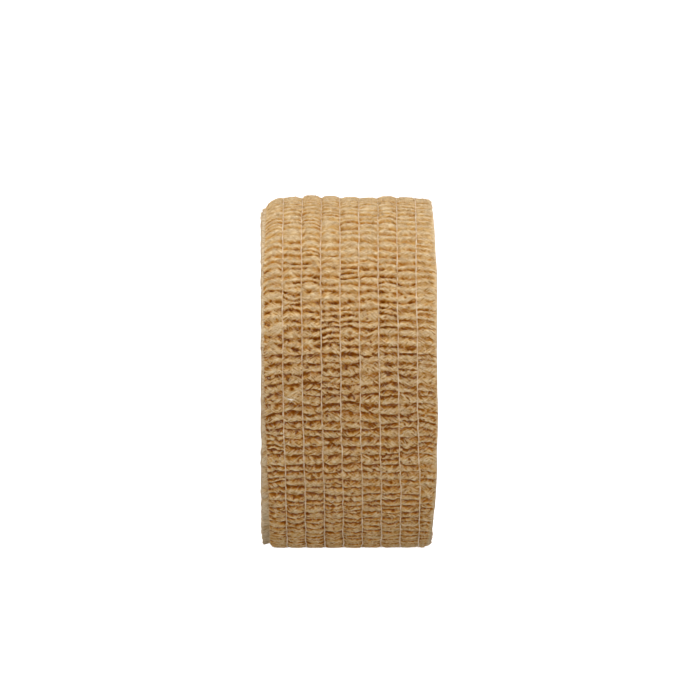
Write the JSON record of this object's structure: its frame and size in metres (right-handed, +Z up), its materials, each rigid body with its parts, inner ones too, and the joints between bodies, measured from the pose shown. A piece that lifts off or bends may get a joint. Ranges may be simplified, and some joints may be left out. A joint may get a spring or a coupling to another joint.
{
  "type": "cohesive bandage roll",
  "caption": "Narrow crinkled elastic bandage wound on itself into a coreless roll, ribbed between its lengthwise threads.",
  "frame": {"origin": "middle of the bottom, where the roll rests, under the winding axis", "axes": "+X along the winding axis, across the strip; +Z up; -Y towards the front, the side that shows"},
  "size_m": [0.0251, 0.0515, 0.0511],
  "materials": {
    "latex_nonwoven": "matte crinkled nonwoven, latex coated, tan"
  },
  "bodies": {
    "root": {"bandage_roll": "latex_nonwoven"}
  },
  "joints": []
}
